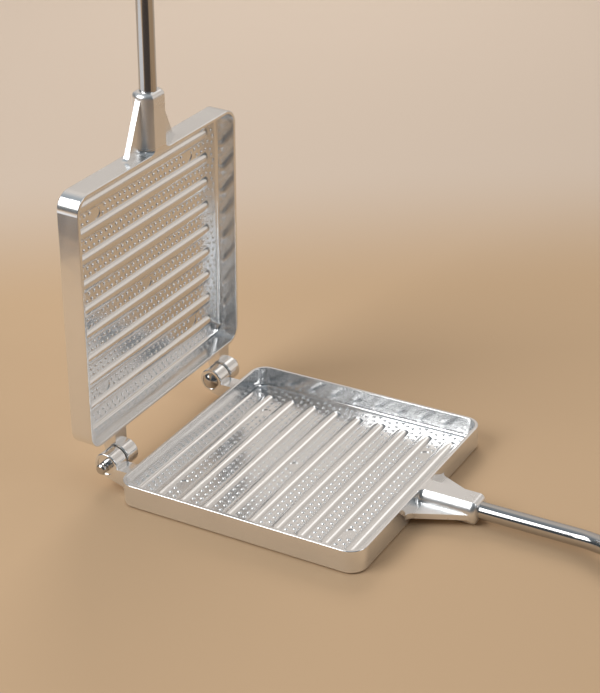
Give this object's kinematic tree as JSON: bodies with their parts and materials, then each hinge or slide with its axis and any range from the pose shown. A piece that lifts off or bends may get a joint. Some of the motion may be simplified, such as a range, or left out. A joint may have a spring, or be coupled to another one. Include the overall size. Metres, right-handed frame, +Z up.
{
  "type": "pie_iron",
  "caption": "Hinged pie iron with square ribbed aluminium tray plates that close face to face, each on a long bent steel rod with a turned wooden grip, shown standing open.",
  "frame": {"origin": "centre of the lower plate's underside, on the table", "axes": "+Z up; the handles point along -Y and the hinge is on the +Y side, its axis along X"},
  "size_m": [0.14, 0.4864, 0.4866],
  "materials": {
    "cast_aluminium": "bright die-cast, lightly polished",
    "plated_steel": "bright plated",
    "plain_steel": "plain turned",
    "varnished_wood": "turned hardwood under satin varnish"
  },
  "bodies": {
    "lower_half": {"lower_plate": "cast_aluminium", "lower_rod": "plated_steel", "lower_socket_pin": "plain_steel", "lower_grip": "varnished_wood", "lower_ferrule": "plated_steel", "lower_end_washer": "plain_steel", "lower_cap_nut": "plated_steel", "left_hinge_screw": "plated_steel", "right_hinge_washer": "plain_steel"},
    "upper_half": {"upper_plate": "cast_aluminium", "upper_rod": "plated_steel", "upper_socket_pin": "plain_steel", "upper_grip": "varnished_wood", "upper_ferrule": "plated_steel", "upper_end_washer": "plain_steel", "upper_cap_nut": "plated_steel", "right_hinge_screw": "plated_steel", "left_hinge_washer": "plain_steel"}
  },
  "joints": [
    {"name": "plate_hinge", "type": "hinge", "parent": "lower_half", "child": "upper_half", "pos_m": [0, 0.0835, 0.01295], "axis": [1, 0, 0], "range_deg": [-92.6, 87.4]}
  ]
}
